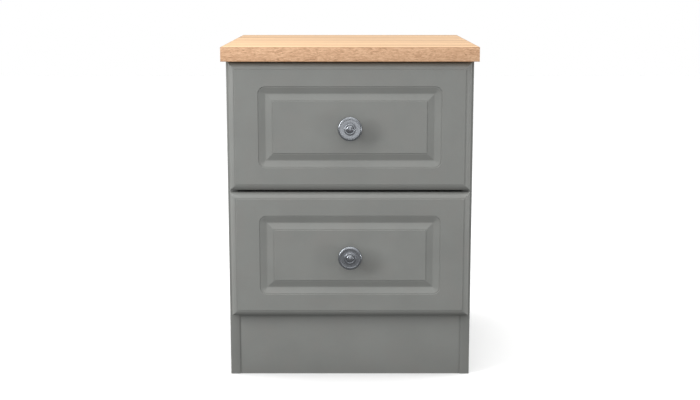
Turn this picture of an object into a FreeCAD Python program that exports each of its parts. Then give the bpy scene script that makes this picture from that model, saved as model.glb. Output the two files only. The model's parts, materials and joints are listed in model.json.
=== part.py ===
"""Two-drawer nightstand with a wood-effect worktop, routed drawer fronts and roller runners.

The frame: +Z is up, the drawer fronts face -Y and +X is to the right. The origin is on the floor, in the
middle of the whole object, knobs included. All sizes are in millimetres.

The Sizes sheet holds the driving dimensions. The Places variable set holds the planes and lengths worked
out from them. Every rule below is an expression in those names.
"""
import FreeCAD
import Part
import math
import os
import re
import Sketcher

SIZES = {
    # worktop
    "top_width": "395",
    "top_depth": "415",
    "top_thickness": "22",
    "overall_height": "525",
    "edging_thickness": "1",
    "side_overhang": "6",
    "rear_overhang": "5.5",
    # carcass
    "board_thickness": "15",
    "kick_height": "100.5",
    "plinth_cover": "3",
    "plinth_setback": "1.5",
    "rail_depth": "80",
    "back_thickness": "3",
    "back_inset": "10",
    "back_drop": "1",
    "groove_depth": "6",
    "groove_play": "0.1",
    "groove_end_play": "0.5",
    # drawer fronts
    "front_thickness": "18",
    "front_setback": "5",
    "front_clearance": "1.5",
    "front_side_reveal": "4",
    "top_gap": "2",
    "front_gap": "3",
    # routed profile of the fronts
    "bevel_width": "9.5",
    "bevel_depth": "6.5",
    "frame_side": "45.5",
    "frame_end": "36",
    "frame_corner": "11.5",
    "valley_corner": "0.6",
    "profile_width": "23.5",
    "profile_depth": "4",
    # drawer boxes
    "box_drop": "40",
    "box_wall": "12",
    "base_thickness": "3",
    "base_rise": "10",
    # roller runners
    "runner_space": "35",
    "runner_gap": "12.5",
    "runner_setback": "2",
    "runner_overlap": "100",
    "runner_drop": "6",
    "sheet_steel": "1.2",
    "flange_reach": "11",
    "track_play": "1.1",
    "roller_radius": "9",
    "roller_play": "0.1",
    "roller_end": "12",
    "roller_drop": "4.3",
    "roller_side_play": "0.4",
    "roller_floor_gap": "3",
    "rear_roller_offset": "3.4",
    "runner_web_gap": "0.3",
    "roller_cutout": "24",
    "lug_length": "3",
    "lug_lead": "3.2",
    "lug_depth": "1.5",
    "pin_radius": "2.4",
    "pin_fit": "0.05",
    "pin_head_radius": "3.9",
    "pin_head_height": "1",
    "pin_head_play": "0.3",
    # knobs
    "knob_radius": "18.75",
    "knob_projection": "25",
    "knob_foot_radius": "9",
    "knob_foot_height": "2",
    "knob_waist_radius": "6.5",
    "knob_waist_height": "8",
    "knob_cap_height": "14",
    "knob_rim_height": "16.5",
    "knob_face_height": "21.5",
    "knob_face_radius": "16.5",
    "knob_dish_depth": "0.6",
    "knob_boss_radius": "8",
    "knob_boss_height": "23.5",
    "knob_dome_radius": "4.8",
    "knob_rim_round": "2",
    # fastenings
    "hole_fit": "0.05",
    "hole_end_play": "0.5",
    "cam_radius": "7.5",
    "cam_depth": "12.5",
    "cam_reach": "24",
    "cam_slot": "7",
    "cam_slot_end": "4.5",
    "cam_recess_width": "1.2",
    "cam_recess_length": "7",
    "cam_recess_depth": "1.5",
    "bolt_thread_radius": "2.5",
    "bolt_thread_length": "11",
    "bolt_body_radius": "3.4",
    "bolt_neck_radius": "1.8",
    "bolt_head_radius": "3",
    "bolt_head_length": "5",
    "dowel_radius": "4",
    "dowel_length": "30",
    "dowel_in_side": "10",
    "joint_inset": "26",
    "joint_spacing": "32",
    "box_dowel_radius": "3",
    "box_dowel_length": "26",
    "box_dowel_in_side": "8",
    "box_dowel_inset": "32",
    "screw_radius": "1.9",
    "screw_head_radius": "3.8",
    "screw_head_height": "1.5",
    "top_screw_length": "30",
    "top_screw_inset": "90",
    "front_screw_length": "24",
    "front_screw_side": "54",
    "front_screw_end": "28",
    "runner_screw_length": "12",
    "runner_screw_inset": "40",
    "drawer_screw_length": "13",
    "drawer_screw_inset": "3.5",
    "knob_screw_radius": "2",
    "knob_screw_grip": "9",
    "back_pin_radius": "0.8",
    "back_pin_length": "17",
    "back_pin_head_radius": "1.8",
    "back_pin_head_height": "0.6",
    "back_pin_inset": "40",
}

PLACES = {
    # the worktop and the carcass
    "top_front": "(knob_projection - front_setback - top_depth) / 2",
    "top_back": "top_front + top_depth",
    "top_half": "top_width / 2",
    "carcass_top": "overall_height - top_thickness",
    "carcass_front": "top_front + front_setback + front_thickness + front_clearance",
    "carcass_back": "top_back - rear_overhang",
    "carcass_half": "top_half - side_overhang",
    "inner_half": "carcass_half - board_thickness",
    "back_rear": "carcass_back - back_inset",
    "back_front": "back_rear - back_thickness",
    "plinth_front": "carcass_front + plinth_setback",
    "plinth_top": "kick_height + plinth_cover",
    "floor_top": "plinth_top + board_thickness",
    "rail_bottom": "carcass_top - board_thickness",
    # the drawer fronts
    "face": "top_front + front_setback",
    "front_rear": "face + front_thickness",
    "front_width": "top_width - 2 * side_overhang - 2 * front_side_reveal",
    "front_height": "(carcass_top - top_gap - front_gap - kick_height) / 2",
    "lower_front_bottom": "kick_height",
    "upper_front_bottom": "kick_height + front_height + front_gap",
    # the drawer boxes, from the lower edge of their fronts: the rollers clear the floor by their gap
    "box_rise": "plinth_cover + board_thickness + roller_floor_gap + roller_drop + runner_drop"
                " - sheet_steel - roller_play",
    "box_half": "inner_half - runner_gap",
    "box_inner_half": "box_half - box_wall",
    "box_top_rise": "front_height - box_drop",
    "runner_length": "carcass_back - carcass_front - runner_space",
    "box_back": "front_rear + runner_length",
    # the runners: heights from the lower edge of the front, and places along the depth
    "track_bottom": "box_rise - runner_drop",
    "track_floor": "track_bottom + sheet_steel",
    "track_ceiling": "track_floor + roller_play + 2 * roller_radius + track_play",
    "track_top": "track_ceiling + sheet_steel",
    "rear_axle_rise": "track_floor + roller_play + roller_radius",
    "front_axle_rise": "rear_axle_rise - roller_drop",
    "slide_floor": "front_axle_rise + roller_radius + roller_play",
    "runner_front": "carcass_front + runner_setback",
    "runner_rear": "runner_front + runner_length",
    "front_axle": "runner_front + roller_end",
    "rear_axle": "box_back - roller_end",
    "travel": "runner_length - runner_overlap",
    # the runners: places across the gap
    "track_web": "inner_half - sheet_steel",
    "track_edge": "inner_half - flange_reach",
    "slide_web": "box_half + sheet_steel",
    "slide_edge": "inner_half - sheet_steel - screw_head_height - pin_fit - 2 * runner_web_gap",
    "rear_roller_outer": "inner_half - rear_roller_offset",
    "front_roller_outer": "track_web - roller_side_play",
    "roller_inner": "slide_web + roller_side_play",
}

SIDES = {"left": -1, "right": 1}
DRAWERS = ("upper", "lower")
SAME_PLACE = 1e-6
TURNS = {
    "x": FreeCAD.Rotation(FreeCAD.Vector(0, 1, 0), 90),
    "y": FreeCAD.Rotation(FreeCAD.Vector(1, 0, 0), -90),
    "z": FreeCAD.Rotation(),
}

doc = FreeCAD.newDocument("nightstand")
sizes = doc.addObject("Spreadsheet::Sheet", "Sizes")
places = doc.addObject("App::VarSet", "Places")
nodes = []
drillings = {}


# ---------------------------------------------------------------- rules and the sheet

def rule(text):
    """A rule in plain size and place names, as a FreeCAD expression."""
    def full_name(found):
        word = found.group()
        if word in SIZES:
            return "Sizes." + word
        return "Places." + word if word in PLACES else word
    return re.sub(r"[a-z][a-z_]+", full_name, str(text))


def value(text):
    """The number that a rule gives now."""
    return float(sizes.evalExpression(rule(text)))


def bind(thing, name, text):
    """Ties a property or constraint to a rule."""
    thing.setExpression(name, rule(text))


def fill_sheet():
    """Writes the driving sizes as plain numbers, then the places worked out from them."""
    for row, (alias, number) in enumerate(SIZES.items(), 1):
        sizes.set(f"A{row}", alias)
        sizes.set(f"B{row}", number)
        sizes.setAlias(f"B{row}", alias)
    doc.recompute()
    for name, text in PLACES.items():
        places.addProperty("App::PropertyFloat", name, "Places")
        bind(places, name, text)
    doc.recompute()


# ---------------------------------------------------------------- solids

def put(thing, x, y, z):
    """Ties the origin of an object's placement to three rules."""
    for letter, text in zip("xyz", (x, y, z)):
        bind(thing, f".Placement.Base.{letter}", text)


def block(name, x, y, z):
    """A box between a low and a high rule on each axis."""
    box = doc.addObject("Part::Box", name)
    for length, (low, high) in zip(("Length", "Width", "Height"), (x, y, z)):
        bind(box, length, f"({high}) - ({low})")
    put(box, x[0], y[0], z[0])
    return box


def along(axis, low, centre):
    """The three rules of a point: low on the axis, and centre's two rules on the other two."""
    across = list(centre)
    across.insert("xyz".index(axis), low)
    return across


def rod(name, axis, low, high, centre, radius):
    """A cylinder along an axis from low to high, with centre on the two other axes."""
    cylinder = doc.addObject("Part::Cylinder", name)
    cylinder.Placement.Rotation = TURNS[axis]
    bind(cylinder, "Radius", radius)
    bind(cylinder, "Height", f"({high}) - ({low})")
    put(cylinder, *along(axis, low, centre))
    return cylinder


def cone(name, axis, low, high, centre, low_radius, high_radius):
    """A cone's frustum along an axis."""
    frustum = doc.addObject("Part::Cone", name)
    frustum.Placement.Rotation = TURNS[axis]
    bind(frustum, "Radius1", low_radius)
    bind(frustum, "Radius2", high_radius)
    bind(frustum, "Height", f"({high}) - ({low})")
    put(frustum, *along(axis, low, centre))
    return frustum


def joined(name, pieces):
    """One solid fused from pieces that touch, or one tool made of several."""
    if len(pieces) == 1:
        return pieces[0]
    fuse = doc.addObject("Part::MultiFuse", name)
    fuse.Shapes = pieces
    fuse.Refine = True
    return fuse


def cut(name, base, tools):
    """The base less every tool."""
    cutting = doc.addObject("Part::Cut", name)
    cutting.Base = base
    cutting.Tool = joined(name + "_tools", tools)
    return cutting


def drill(panels, tool):
    """Notes a tool that is to be cut from each of the named panels."""
    for panel in panels:
        drillings.setdefault(panel, []).append(tool)


def span(way, seat, length):
    """The low and high rules of a length that starts at a seat and goes the given way."""
    far = f"{seat} + ({way}) * ({length})"
    return (seat, far) if way > 0 else (far, seat)


# ---------------------------------------------------------------- nodes

def keep(label, thing):
    """Makes an object a sub-part, under its own label."""
    thing.Label = label
    nodes.append(thing)
    return thing


def panel(label, x, y, z):
    """A board that its drillings are cut from once all of them are known."""
    return label, block(label + "_blank", x, y, z)


def group(label, pieces):
    """Identical fastenings as one sub-part of separate solids."""
    compound = doc.addObject("Part::Compound", label)
    compound.Links = pieces
    return keep(label, compound)


def finish(label, blank):
    """The sub-part left when a blank's drillings are cut out of it."""
    return keep(label, cut(label, blank, drillings[label]) if label in drillings else blank)


# ---------------------------------------------------------------- sketches and bodies

def sketch_on(body, name, role, offset="0"):
    """A sketch on one of the body's own origin planes, moved along its normal by a rule."""
    sketch = body.newObject("Sketcher::SketchObject", name)
    plane = next(item for item in body.Origin.OriginFeatures if item.Role == role)
    sketch.AttachmentSupport = [(plane, "")]
    sketch.MapMode = "FlatFace"
    bind(sketch, ".AttachmentOffset.Base.z", offset)
    return sketch


def pin_point(sketch, edge, end, x, y):
    """Ties one end of a sketch edge to two rules, measured from the sketch's origin."""
    for kind, text in (("DistanceX", x), ("DistanceY", y)):
        number = sketch.addConstraint(Sketcher.Constraint(kind, -1, 1, edge, end, value(text)))
        name = f"{kind[-1].lower()}_{edge}_{end}"
        sketch.renameConstraint(number, name)
        bind(sketch, "Constraints." + name, text)


def outline(sketch, corners):
    """A closed run of straight edges through corners, each a pair of rules."""
    spots = [FreeCAD.Vector(value(x), value(y), 0) for x, y in corners]
    count = len(corners)
    for number, spot in enumerate(spots):
        sketch.addGeometry(Part.LineSegment(spot, spots[(number + 1) % count]), False)
    for number, (x, y) in enumerate(corners):
        sketch.addConstraint(Sketcher.Constraint("Coincident", number, 2, (number + 1) % count, 1))
        pin_point(sketch, number, 1, x, y)


def rounded_rectangle(sketch, half_width, half_height, radius):
    """A rectangle about the sketch's origin with tangent arcs at its corners."""
    across, up = f"({half_width})", f"({half_height})"
    ends = [
        ((f"-{across} + {radius}", f"-{up}"), (f"{across} - {radius}", f"-{up}")),
        ((across, f"-{up} + {radius}"), (across, f"{up} - {radius}")),
        ((f"{across} - {radius}", up), (f"-{across} + {radius}", up)),
        ((f"-{across}", f"{up} - {radius}"), (f"-{across}", f"-{up} + {radius}")),
    ]
    spots = [[FreeCAD.Vector(value(x), value(y), 0) for x, y in pair] for pair in ends]
    for start, end in spots:
        sketch.addGeometry(Part.LineSegment(start, end), False)
    corner_gap = value(radius) * (1 - math.cos(math.radians(45)))
    for side in range(4):
        start, end = spots[side][1], spots[(side + 1) % 4][0]
        corner = FreeCAD.Vector(max(start.x, end.x, key=abs), max(start.y, end.y, key=abs), 0)
        towards = FreeCAD.Vector(math.copysign(corner_gap, corner.x), math.copysign(corner_gap, corner.y), 0)
        middle = corner - towards
        sketch.addGeometry(Part.Arc(start, middle, end), False)
    for side in range(4):
        arc = side + 4
        arc_start, arc_end = arc_ends(sketch, arc, spots[side][1])
        sketch.addConstraint(Sketcher.Constraint("Tangent", side, 2, arc, arc_start))
        sketch.addConstraint(Sketcher.Constraint("Coincident", arc, arc_end, (side + 1) % 4, 1))
        for end in (1, 2):
            pin_point(sketch, side, end, *ends[side][end - 1])


def arc_ends(sketch, arc, start):
    """The numbers of an arc's two ends, first the one at start."""
    return (1, 2) if sketch.getPoint(arc, 1).distanceToPoint(start) < SAME_PLACE else (2, 1)


def edges_at(shape, depth):
    """The names of the edges that lie wholly at one depth."""
    return [f"Edge{number}" for number, edge in enumerate(shape.Edges, 1) if level(edge, depth)]


def level(shape, depth):
    """Whether an edge or face lies wholly at one depth."""
    return all(abs(vertex.Y - depth) < SAME_PLACE for vertex in shape.Vertexes)


def new_body(name):
    """An empty body."""
    return doc.addObject("PartDesign::Body", name)


def pad(body, name, sketch, length):
    """A pad towards the sketch's normal."""
    feature = body.newObject("PartDesign::Pad", name)
    feature.Profile = sketch
    bind(feature, "Length", length)
    return feature


# ---------------------------------------------------------------- fastenings

def screw(name, axis, way, seat, centre, length, radius="screw_radius", head="screw_head", panels=()):
    """A headed screw or pin, driven the given way from the face that its head sits on.

    Each panel that it passes through or bites in gets its hole.
    """
    head_radius, head_height = head + "_radius", head + "_height"
    shank = rod(name + "_shank", axis, *span(way, seat, length), centre, radius)
    radii = (head_radius, f"0.75 * {head_radius}")
    low, high = span(-way, seat, head_height)
    crown = cone(name + "_head", axis, low, high, centre, *(radii if way < 0 else radii[::-1]))
    hole = span(way, seat, f"{length} + hole_end_play")
    drill(panels, rod(name + "_hole", axis, *hole, centre, f"{radius} + hole_fit"))
    return joined(name, [shank, crown])


def dowel(name, axis, low, high, centre, radius, panels):
    """A plain dowel and its hole in each panel."""
    tool = rod(
        name + "_hole", axis, f"{low} - hole_end_play", f"{high} + hole_end_play", centre,
        f"{radius} + hole_fit",
    )
    drill(panels, tool)
    return rod(name, axis, low, high, centre, radius)


def cam_joint(name, side, y, z, cam_axis, cam_face, cam_way, panels):
    """A cam lock in a panel and its bolt in the side panel.

    The cam is let in from cam_face along cam_axis the way cam_way. It returns the lock and the bolt.
    """
    end = f"{side} * inner_half"
    centre_x = f"{side} * (inner_half - cam_reach)"
    centre = (centre_x, y) if cam_axis == "z" else (centre_x, z)
    body = rod(name + "_drum", cam_axis, *span(cam_way, cam_face, "cam_depth"), centre, "cam_radius")
    half_slot = "cam_slot / 2"
    slot_x = span(side, f"{centre_x} - {side} * cam_slot_end", "cam_slot_end + cam_radius + hole_fit")
    slot = block(
        name + "_slot", slot_x, (f"{y} - {half_slot}", f"{y} + {half_slot}"),
        (f"{z} - {half_slot}", f"{z} + {half_slot}"),
    )
    long_half, thin_half = "cam_recess_length / 2", "cam_recess_width / 2"
    recess = span(cam_way, cam_face, "cam_recess_depth")
    across = y if cam_axis == "z" else z
    thin = (f"{across} - {thin_half}", f"{across} + {thin_half}")
    recess_box = block(
        name + "_recess", (f"{centre_x} - {long_half}", f"{centre_x} + {long_half}"),
        *((thin, recess) if cam_axis == "z" else (recess, thin)),
    )
    lock = cut(name + "_lock", body, [slot, recess_box])

    def bolt_part(part, start, stop, radius):
        """One round length of the bolt, between two distances from the panel's end."""
        low, high = span(-side, f"{end} - {side} * ({start})", f"{stop} - ({start})")
        return rod(f"{name}_{part}", "x", low, high, (y, z), radius)

    body_end = "(cam_reach - cam_radius)"
    head_end = "(cam_reach + cam_slot_end - hole_end_play)"
    neck_end = f"({head_end} - bolt_head_length)"
    bolt = joined(name + "_bolt", [
        bolt_part("thread", "-bolt_thread_length", "0", "bolt_thread_radius"),
        bolt_part("shaft", "0", body_end, "bolt_body_radius"),
        bolt_part("neck", body_end, neck_end, "bolt_neck_radius"),
        bolt_part("head", neck_end, head_end, "bolt_head_radius"),
    ])
    pocket = rod(
        name + "_pocket", cam_axis, *span(cam_way, cam_face, "cam_depth + hole_end_play"), centre,
        "cam_radius + hole_fit",
    )
    way_in = bolt_part("way_in", "0", "cam_reach", "bolt_body_radius + hole_fit")
    drill([panels[0]], pocket)
    drill([panels[0]], way_in)
    thread_hole = bolt_part(
        "thread_hole", "-bolt_thread_length - hole_end_play", "0", "bolt_thread_radius + hole_fit"
    )
    drill([panels[1]], thread_hole)
    return lock, bolt


# ---------------------------------------------------------------- the carcass

def make_worktop():
    """The worktop's core and the edging strips on its front and sides."""
    core = ("top_half - edging_thickness", "top_front + edging_thickness")
    heights = ("carcass_top", "overall_height")
    blanks = [panel("worktop", (f"-({core[0]})", core[0]), (core[1], "top_back"), heights)]
    keep("worktop_front_edging", block(
        "worktop_front_edging", ("-top_half", "top_half"), ("top_front", core[1]), heights
    ))
    for name, side in SIDES.items():
        across = span(side, f"{side} * ({core[0]})", "edging_thickness")
        label = f"worktop_{name}_edging"
        keep(label, block(label, across, (core[1], "top_back"), heights))
    return blanks


def make_carcass():
    """The side panels, floor, rails, plinth and back, before their drillings are cut."""
    inside = ("-inner_half", "inner_half")
    edge = "carcass_front + edging_thickness"
    blanks = []
    for name, side in SIDES.items():
        across = span(side, f"{side} * inner_half", "board_thickness")
        blanks.append(panel(f"{name}_side_panel", across, (edge, "carcass_back"), ("0", "carcass_top")))
        label = f"{name}_side_edging"
        keep(label, block(label, across, ("carcass_front", edge), ("0", "carcass_top")))
        groove = block(
            f"{name}_back_groove", span(side, f"{side} * inner_half", "groove_depth"),
            ("back_front - groove_play", "back_rear + groove_play"), ("0", "carcass_top"),
        )
        drill([f"{name}_side_panel"], groove)
    blanks.append(panel("plinth", inside, ("plinth_front", "plinth_front + board_thickness"),
                        ("0", "plinth_top")))
    blanks.append(panel("bottom_panel", inside, ("plinth_front", "back_front"),
                        ("plinth_top", "floor_top")))
    rail_heights = ("rail_bottom", "carcass_top")
    blanks.append(panel("front_top_rail", inside, ("plinth_front", "plinth_front + rail_depth"),
                        rail_heights))
    blanks.append(panel("rear_top_rail", inside, ("back_front - rail_depth", "back_front"), rail_heights))
    half = "inner_half + groove_depth - groove_end_play"
    blanks.append(panel("back_panel", (f"-({half})", half), ("back_front", "back_rear"),
                        ("plinth_top", "carcass_top - back_drop")))
    return blanks


def make_carcass_joints():
    """The cam locks, their bolts and the dowels that hold the carcass, as three groups."""
    mid_rail = "rail_bottom + board_thickness / 2"
    mid_floor = "plinth_top + board_thickness / 2"
    mid_plinth = "plinth_front + board_thickness / 2"
    stations = {
        "front_rail": ("front_top_rail", "plinth_front + joint_inset", mid_rail, "z", "rail_bottom", 1, 1),
        "rear_rail": ("rear_top_rail", "back_front - joint_inset", mid_rail, "z", "rail_bottom", 1, -1),
        "floor_front": ("bottom_panel", "plinth_front + board_thickness + joint_inset", mid_floor, "z",
                        "plinth_top", 1, 1),
        "floor_rear": ("bottom_panel", "back_front - joint_inset", mid_floor, "z", "plinth_top", 1, -1),
        "kick": ("plinth", mid_plinth, "plinth_top / 2 - joint_spacing / 2", "y",
                 "plinth_front + board_thickness", -1, 1),
    }
    locks, bolts, dowels = [], [], []
    for side_name, side in SIDES.items():
        for place, (board, y, z, axis, face, way, step) in stations.items():
            name = f"{side_name}_{place}"
            panels = (board, f"{side_name}_side_panel")
            lock, bolt = cam_joint(name, side, y, z, axis, face, way, panels)
            locks.append(lock)
            bolts.append(bolt)
            shift = f"{step} * joint_spacing"
            centre = (f"{y} + {shift}", z) if axis == "z" else (y, f"{z} + {shift}")
            low, high = span(-side, f"{side} * (inner_half + dowel_in_side)", "dowel_length")
            dowels.append(dowel(name + "_dowel", "x", low, high, centre, "dowel_radius", panels))
    group("cam_locks", locks)
    group("cam_bolts", bolts)
    group("panel_dowels", dowels)


def make_worktop_screws():
    """Four screws up through the two rails into the worktop."""
    screws = []
    for rail, y in (("front_top_rail", "plinth_front + rail_depth / 2"),
                    ("rear_top_rail", "back_front - rail_depth / 2")):
        for name, side in SIDES.items():
            x = f"{side} * (inner_half - top_screw_inset)"
            screws.append(screw(f"{rail}_{name}_screw", "z", 1, "rail_bottom", (x, y), "top_screw_length",
                                panels=(rail, "worktop")))
    group("worktop_screws", screws)


def make_back_pins():
    """Pins through the back panel into the edges of the floor and of the rear rail."""
    pins = []
    rows = {
        "bottom_panel": "plinth_top + board_thickness / 2",
        "rear_top_rail": "rail_bottom + board_thickness / 2",
    }
    columns = {
        "left": "-(inner_half - back_pin_inset)", "middle": "0", "right": "inner_half - back_pin_inset",
    }
    for board, z in rows.items():
        for name, x in columns.items():
            pins.append(screw(f"{board}_{name}_pin", "y", -1, "back_rear", (x, z), "back_pin_length",
                              radius="back_pin_radius", head="back_pin_head",
                              panels=("back_panel", board)))
    group("back_panel_pins", pins)


# ---------------------------------------------------------------- the runners

def profile_pad(label, corners, low, high):
    """A rolled section, drawn across the depth and padded from one depth to another."""
    body = new_body(label + "_section")
    sketch = sketch_on(body, label + "_sketch", "XZ_Plane")
    outline(sketch, corners)
    pad(body, label + "_pad", sketch, f"({high}) - ({low})")
    put(body, "0", high, "0")
    return body


def cabinet_runner(label, side, base):
    """A channel screwed to the side panel, with a bent lug that stops the drawer's roller."""
    outer, web, edge = (f"{side} * {place}" for place in ("inner_half", "track_web", "track_edge"))
    floor, lift, ceiling, top = (
        f"{base} + {place}" for place in ("track_bottom", "track_floor", "track_ceiling", "track_top")
    )
    channel = profile_pad(label + "_channel", [
        (outer, floor), (edge, floor), (edge, lift), (web, lift),
        (web, ceiling), (edge, ceiling), (edge, top), (outer, top),
    ], "runner_front + roller_cutout", "runner_rear")
    nose = block(label + "_nose", span(-side, outer, "sheet_steel"),
                 ("runner_front", "runner_front + roller_cutout"), (floor, top))
    lug_front = "rear_axle - travel - lug_lead - lug_length"
    lug_reach = "flange_reach - sheet_steel - screw_head_height - roller_side_play"
    lug = block(label + "_lug", span(side, edge, lug_reach),
                (lug_front, f"{lug_front} + lug_length"), (f"{ceiling} - lug_depth", ceiling))
    return joined(label + "_blank", [channel, nose, lug])


def drawer_runner(label, side, base):
    """An angle under the drawer's side, with a flange that slides over the cabinet's roller."""
    inner, wall, web, edge = (
        f"{side} * {place}" for place in ("box_inner_half", "box_half", "slide_web", "slide_edge")
    )
    under, seat = f"{base} + box_rise - sheet_steel", f"{base} + box_rise"
    slide, slide_top = f"{base} + slide_floor", f"{base} + slide_floor + sheet_steel"
    front = profile_pad(label + "_front", [
        (inner, under), (web, under), (web, slide), (edge, slide),
        (edge, slide_top), (wall, slide_top), (wall, seat), (inner, seat),
    ], "front_rear", "box_back - roller_cutout")
    rear = profile_pad(label + "_rear", [
        (inner, under), (web, under), (web, slide_top), (wall, slide_top), (wall, seat), (inner, seat),
    ], "box_back - roller_cutout", "box_back")
    return joined(label + "_blank", [front, rear])


def roller(label, side, y, z, inner, outer, head_end):
    """A plastic roller with a bore for its pin and a counterbore for the pin's head.

    head_end is 1 where the pin's head is at the roller's end nearer to the drawer, and -1 at the other.
    """
    near = inner if head_end > 0 else outer
    wheel = rod(label + "_disc", "x", *ordered(side, inner, outer), (y, z), "roller_radius")
    bore = rod(label + "_bore", "x", *ordered(side, inner, outer), (y, z), "pin_radius + pin_fit")
    seat = f"{near} + {head_end} * (pin_head_height + pin_head_play)"
    ends = (near, seat) if head_end > 0 else (seat, near)
    counterbore = rod(label + "_counterbore", "x", *ordered(side, *ends), (y, z),
                      "pin_head_radius + pin_head_play")
    return keep(label, cut(label, wheel, [bore, counterbore]))


def ordered(side, inner, outer):
    """The low and high rules of two distances from the middle plane, on the given side."""
    return (inner, outer) if side > 0 else (f"-({outer})", f"-({inner})")


def roller_pin(name, side, y, z, tail, head, head_end, runner):
    """A riveted pin, from its tail in the runner's web to its head, and its hole in the web."""
    low_high = ordered(side, head, tail) if head_end > 0 else ordered(side, tail, head)
    shank = rod(name + "_shank", "x", *low_high, (y, z), "pin_radius")
    inner_face = f"{head} + {head_end} * pin_head_height"
    ends = (head, inner_face) if head_end > 0 else (inner_face, head)
    crown = rod(name + "_head", "x", *ordered(side, *ends), (y, z), "pin_head_radius")
    drill([runner], rod(name + "_hole", "x", *low_high, (y, z), "pin_radius"))
    return joined(name, [shank, crown])


def make_runners():
    """The cabinet's runners with their rollers, pins and screws, for both drawers and both sides."""
    blanks, pins, screws = [], [], []
    for drawer in DRAWERS:
        base = f"{drawer}_front_bottom"
        for name, side in SIDES.items():
            label = f"{drawer}_{name}_cabinet_runner"
            blanks.append((label, cabinet_runner(label, side, base)))
            axle = ("front_axle", f"{base} + front_axle_rise")
            roller(f"{drawer}_{name}_front_roller", side, *axle, "roller_inner", "front_roller_outer", 1)
            pins.append(roller_pin(f"{drawer}_{name}_front_pin", side, *axle, "inner_half",
                                   "roller_inner", 1, label))
            height = f"{base} + (track_floor + track_ceiling) / 2"
            stations = {
                "front": "runner_front + roller_cutout + runner_screw_inset",
                "middle": "(runner_front + runner_rear) / 2",
                "rear": "runner_rear - runner_screw_inset",
            }
            for place, y in stations.items():
                screws.append(screw(f"{label}_{place}_screw", "x", side, f"{side} * track_web", (y, height),
                                    "runner_screw_length", panels=(label, f"{name}_side_panel")))
    group("front_roller_pins", pins)
    group("cabinet_runner_screws", screws)
    return blanks


# ---------------------------------------------------------------- the drawers

def make_front(label, base):
    """A drawer front: bevelled at its edges and routed with a raised panel."""
    body = new_body(label + "_body")
    half_width, half_height = "front_width / 2", "front_height / 2"
    slab_sketch = sketch_on(body, label + "_outline", "XZ_Plane")
    outline(slab_sketch, [
        (f"-{half_width}", f"-{half_height}"), (half_width, f"-{half_height}"),
        (half_width, half_height), (f"-{half_width}", half_height),
    ])
    slab = pad(body, label + "_slab", slab_sketch, "front_thickness")
    doc.recompute()
    bevel = body.newObject("PartDesign::Chamfer", label + "_bevel")
    face = value("-front_thickness")
    bevel.Base = (slab, edges_at(slab.Shape, face))
    bevel.ChamferType = "Two distances"
    bind(bevel, "Size", "bevel_width")
    bind(bevel, "Size2", "bevel_depth")
    doc.recompute()
    if bevel_turned(bevel.Shape, face):
        bevel.FlipDirection = True
    rings = {}
    for name, inset, depth, corner in (
        ("frame", "0", "0", "frame_corner"),
        ("valley", "profile_width / 2", "profile_depth", "valley_corner"),
        ("field", "profile_width", "0", "valley_corner"),
    ):
        sketch = sketch_on(body, f"{label}_{name}", "XZ_Plane", f"front_thickness - {depth}")
        rounded_rectangle(sketch, f"{half_width} - frame_side - {inset}",
                          f"{half_height} - frame_end - {inset}", corner)
        rings[name] = sketch
    for kind, start, end in (("Subtractive", "frame", "valley"), ("Additive", "valley", "field")):
        loft = body.newObject(f"PartDesign::{kind}Loft", f"{label}_{kind.lower()}")
        loft.Profile = rings[start]
        loft.Sections = [rings[end]]
        loft.Ruled = True
        loft.Refine = False
    put(body, "0", "front_rear", f"{base} + {half_height}")
    return body


def bevel_turned(shape, face):
    """Whether the bevel took its width down the edge and its depth along the face."""
    flat = next(item for item in shape.Faces if level(item, face))
    return abs(flat.BoundBox.XLength - value("front_width - 2 * bevel_width")) > SAME_PLACE


def make_knob(label, base):
    """A turned knob: a foot, a waist and a dished cap with a raised boss and a small dome."""
    body = new_body(label + "_body")
    sketch = sketch_on(body, label + "_profile", "XY_Plane")
    corners = [
        ("0", "0"), ("knob_foot_radius", "0"), ("knob_foot_radius", "-knob_foot_height"),
        ("knob_waist_radius", "-knob_waist_height"),
        ("knob_radius - knob_rim_round", "-knob_cap_height"), ("knob_radius", "-knob_rim_height"),
        ("knob_radius", "-knob_face_height + knob_rim_round"), ("knob_face_radius", "-knob_face_height"),
        ("knob_boss_radius + knob_dish_depth", "-knob_face_height + knob_dish_depth"),
        ("knob_boss_radius", "-knob_boss_height"),
        ("knob_boss_radius - knob_dish_depth", "-knob_boss_height"),
        ("knob_dome_radius + knob_dish_depth", "-knob_boss_height + knob_dish_depth"),
        ("knob_dome_radius", "-knob_boss_height + knob_dish_depth"),
        ("knob_dome_radius / 2", "-knob_projection"), ("0", "-knob_projection"),
    ]
    outline(sketch, corners)
    turning = body.newObject("PartDesign::Revolution", label + "_turning")
    turning.Profile = sketch
    turning.ReferenceAxis = (sketch, ["V_Axis"])
    turning.Angle = 360
    put(body, "0", "face", f"{base} + front_height / 2")
    hole = rod(label + "_hole", "y", "face - knob_screw_grip - hole_end_play", "face",
               ("0", f"{base} + front_height / 2"), "knob_screw_radius + hole_fit")
    return keep(label, cut(label, body, [hole]))


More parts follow.
